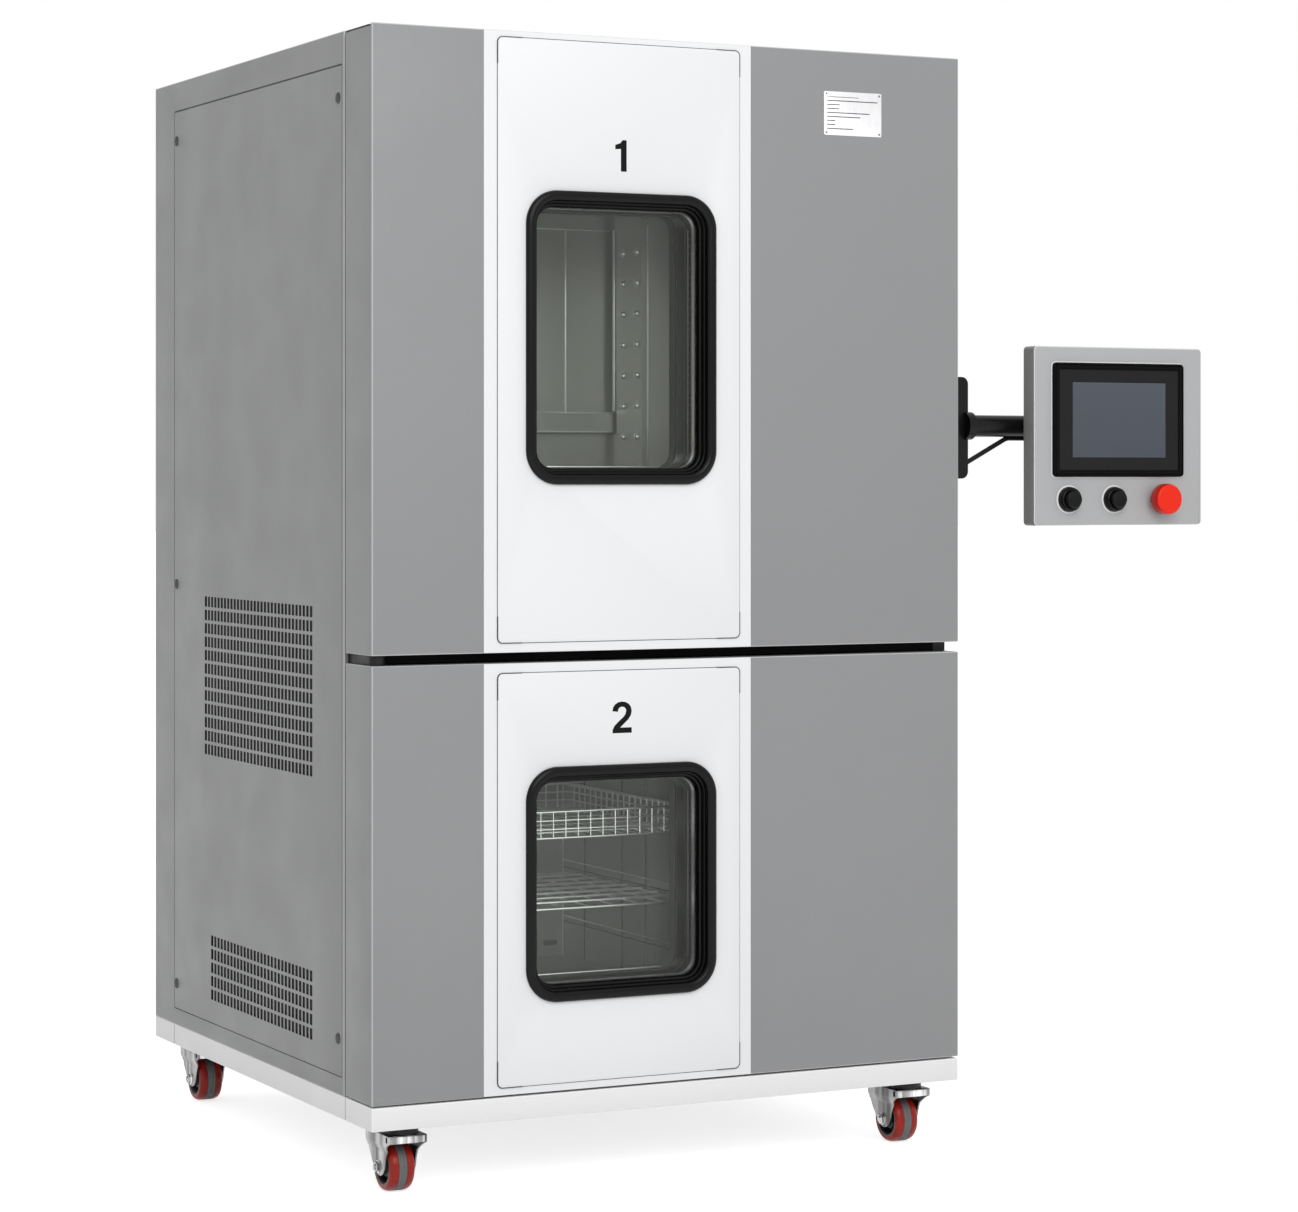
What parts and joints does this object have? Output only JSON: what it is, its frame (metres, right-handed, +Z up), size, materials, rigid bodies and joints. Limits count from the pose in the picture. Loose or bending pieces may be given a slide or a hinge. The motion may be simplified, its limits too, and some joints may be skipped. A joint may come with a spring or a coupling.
{
  "type": "environmental test chamber",
  "caption": "Floor-standing thermal shock chamber with a hot zone above a cold zone, windowed doors, casters and an operator pod on a swing arm.",
  "frame": {"origin": "centre of the whole object on the floor, at the bottom of its wheels", "axes": "+X to the right of someone facing the doors, +Y from the doors towards the back, +Z up"},
  "size_m": [1.536, 1.0314, 1.745],
  "materials": {
    "cabinet_grey": "powder coat, satin",
    "panel_white": "powder coat, satin",
    "skirt_white": "powder coat, satin",
    "black_paint": "powder coat, satin",
    "pod_grey": "powder coat, satin",
    "stainless": "brushed",
    "zinc_plate": "bright zinc",
    "hinge_steel": "plain",
    "wire_chrome": "polished",
    "fin_aluminium": "plain",
    "compressor_black": "painted",
    "seal_rubber": "matte",
    "gasket_rubber": "matte",
    "window_glass": "clear",
    "insulation_wool": "fibrous",
    "control_plastic": "matte",
    "bezel_black": "satin",
    "screen": "gloss",
    "button_black": "satin",
    "stop_red": "satin",
    "tyre_red": "satin",
    "hub_grey": "satin",
    "gland_plastic": "matte"
  },
  "bodies": {
    "cabinet": {"base_frame": "skirt_white", "cabinet_shell": "cabinet_grey", "side_panel_left": "cabinet_grey", "side_panel_right": "cabinet_grey", "rear_panel": "cabinet_grey", "front_frame": "cabinet_grey", "centre_rail": "black_paint", "pivot_hinges": "hinge_steel", "hot_liner": "stainless", "cold_liner": "stainless", "insulation": "insulation_wool", "air_baffles": "stainless", "shelf_rails": "stainless", "wire_basket": "wire_chrome", "wire_shelf": "wire_chrome", "heater": "stainless", "evaporator": "fin_aluminium", "blower_motors": "fin_aluminium", "compressor": "compressor_black", "condenser": "fin_aluminium", "electrics_panel": "control_plastic", "cable_gland": "gland_plastic", "arm_hinge_leaf": "black_paint", "caster_plates": "zinc_plate"},
    "arm": {"swing_arm": "black_paint", "pod_case": "pod_grey", "hmi_bezel": "bezel_black", "hmi_screen": "screen", "button_collars": "button_black"},
    "button_left": {"black_button_left": "button_black"},
    "button_right": {"black_button_right": "button_black"},
    "stop_button": {"e_stop_button": "stop_red"},
    "hot_blower": {"hot_blower_wheel": "fin_aluminium"},
    "cold_blower": {"cold_blower_wheel": "fin_aluminium"},
    "upper_door": {"upper_door_shell": "cabinet_grey", "upper_door_front_panel": "panel_white", "upper_window_trim": "seal_rubber", "upper_window_glass": "window_glass", "upper_window_spacer": "fin_aluminium", "upper_door_liner": "stainless", "upper_door_gasket": "gasket_rubber"},
    "lower_door": {"lower_door_shell": "cabinet_grey", "lower_door_front_panel": "panel_white", "lower_window_trim": "seal_rubber", "lower_window_glass": "window_glass", "lower_window_spacer": "fin_aluminium", "lower_door_liner": "stainless", "lower_door_gasket": "gasket_rubber"},
    "front_left_swivel": {"front_left_fork": "zinc_plate"},
    "front_left_wheel": {"front_left_hub": "hub_grey", "front_left_tyre": "tyre_red"},
    "front_right_swivel": {"front_right_fork": "zinc_plate"},
    "front_right_wheel": {"front_right_hub": "hub_grey", "front_right_tyre": "tyre_red"},
    "rear_left_swivel": {"rear_left_fork": "zinc_plate"},
    "rear_left_wheel": {"rear_left_hub": "hub_grey", "rear_left_tyre": "tyre_red"},
    "rear_right_swivel": {"rear_right_fork": "zinc_plate"},
    "rear_right_wheel": {"rear_right_hub": "hub_grey", "rear_right_tyre": "tyre_red"}
  },
  "joints": [
    {"name": "upper_door_hinge", "type": "hinge", "parent": "cabinet", "child": "upper_door", "pos_m": [-0.748, -0.47625, 1.2768], "axis": [0, 0, -1], "range_deg": [0, 110]},
    {"name": "lower_door_hinge", "type": "hinge", "parent": "cabinet", "child": "lower_door", "pos_m": [-0.748, -0.47625, 0.468], "axis": [0, 0, -1], "range_deg": [0, 110]},
    {"name": "arm_swing", "type": "hinge", "parent": "cabinet", "child": "arm", "pos_m": [0.268, -0.36625, 1.1545], "axis": [0, 0, 1], "range_deg": [-70, 80]},
    {"name": "left_button_push", "type": "slide", "parent": "arm", "child": "button_left", "axis": [0, 1, 0], "range_m": [0, 0.003], "stiffness_N_per_m": 600},
    {"name": "right_button_push", "type": "slide", "parent": "arm", "child": "button_right", "axis": [0, 1, 0], "range_m": [0, 0.003], "stiffness_N_per_m": 600},
    {"name": "stop_button_push", "type": "slide", "parent": "arm", "child": "stop_button", "axis": [0, 1, 0], "range_m": [0, 0.0035], "stiffness_N_per_m": 1200},
    {"name": "hot_blower_spin", "type": "hinge", "parent": "cabinet", "child": "hot_blower", "pos_m": [-0.359, 0.09375, 1.4], "axis": [0, 1, 0], "continuous": true},
    {"name": "cold_blower_spin", "type": "hinge", "parent": "cabinet", "child": "cold_blower", "pos_m": [-0.359, 0.09375, 0.56], "axis": [0, 1, 0], "continuous": true},
    {"name": "front_left_swivel_turn", "type": "hinge", "parent": "cabinet", "child": "front_left_swivel", "pos_m": [-0.7, -0.45425, 0.088], "axis": [0, 0, 1], "continuous": true},
    {"name": "front_left_wheel_roll", "type": "hinge", "parent": "front_left_swivel", "child": "front_left_wheel", "pos_m": [-0.7, -0.42725, 0.0375], "axis": [1, 0, 0], "continuous": true},
    {"name": "front_right_swivel_turn", "type": "hinge", "parent": "cabinet", "child": "front_right_swivel", "pos_m": [0.176, -0.45425, 0.088], "axis": [0, 0, 1], "continuous": true},
    {"name": "front_right_wheel_roll", "type": "hinge", "parent": "front_right_swivel", "child": "front_right_wheel", "pos_m": [0.176, -0.42725, 0.0375], "axis": [1, 0, 0], "continuous": true},
    {"name": "rear_left_swivel_turn", "type": "hinge", "parent": "cabinet", "child": "rear_left_swivel", "pos_m": [-0.7, 0.40175, 0.088], "axis": [0, 0, 1], "continuous": true},
    {"name": "rear_left_wheel_roll", "type": "hinge", "parent": "rear_left_swivel", "child": "rear_left_wheel", "pos_m": [-0.7, 0.42875, 0.0375], "axis": [1, 0, 0], "continuous": true},
    {"name": "rear_right_swivel_turn", "type": "hinge", "parent": "cabinet", "child": "rear_right_swivel", "pos_m": [0.176, 0.40175, 0.088], "axis": [0, 0, 1], "continuous": true},
    {"name": "rear_right_wheel_roll", "type": "hinge", "parent": "rear_right_swivel", "child": "rear_right_wheel", "pos_m": [0.176, 0.42875, 0.0375], "axis": [1, 0, 0], "continuous": true}
  ]
}
